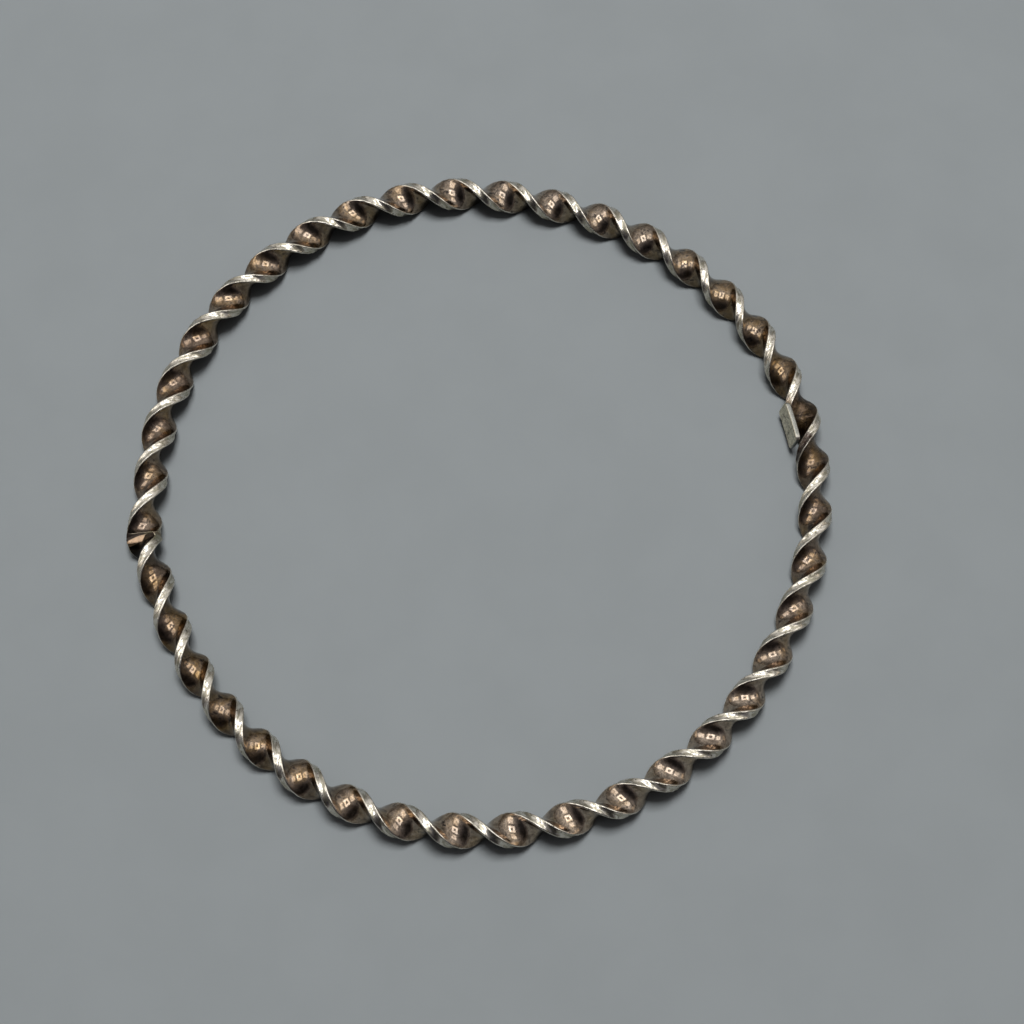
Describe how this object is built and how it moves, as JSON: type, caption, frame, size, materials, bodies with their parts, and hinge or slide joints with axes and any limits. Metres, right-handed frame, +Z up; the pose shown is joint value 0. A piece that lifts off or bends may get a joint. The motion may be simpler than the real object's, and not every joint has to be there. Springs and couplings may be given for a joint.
{
  "type": "twisted strip bangle",
  "caption": "Round solid bangle of flat silver strip twisted along its whole length, soldered shut, with a small plain plate on its inner side.",
  "frame": {"origin": "middle of the bangle's outline on the surface that it lies on", "axes": "+Z up through the wrist opening, +X to the right in the picture, towards the plate, and +Y away from the picture's camera; the solder joint is near -X"},
  "size_m": [0.0723, 0.0738, 0.0035],
  "materials": {
    "tarnished_silver": "old silver with dark brown tarnish on the broad faces and bright worn edges",
    "plain_silver": "grey scuffed silver of the small plate",
    "solder": "dull coppery run of solder at the joint"
  },
  "bodies": {
    "root": {"twisted_band": "tarnished_silver"}
  },
  "joints": []
}
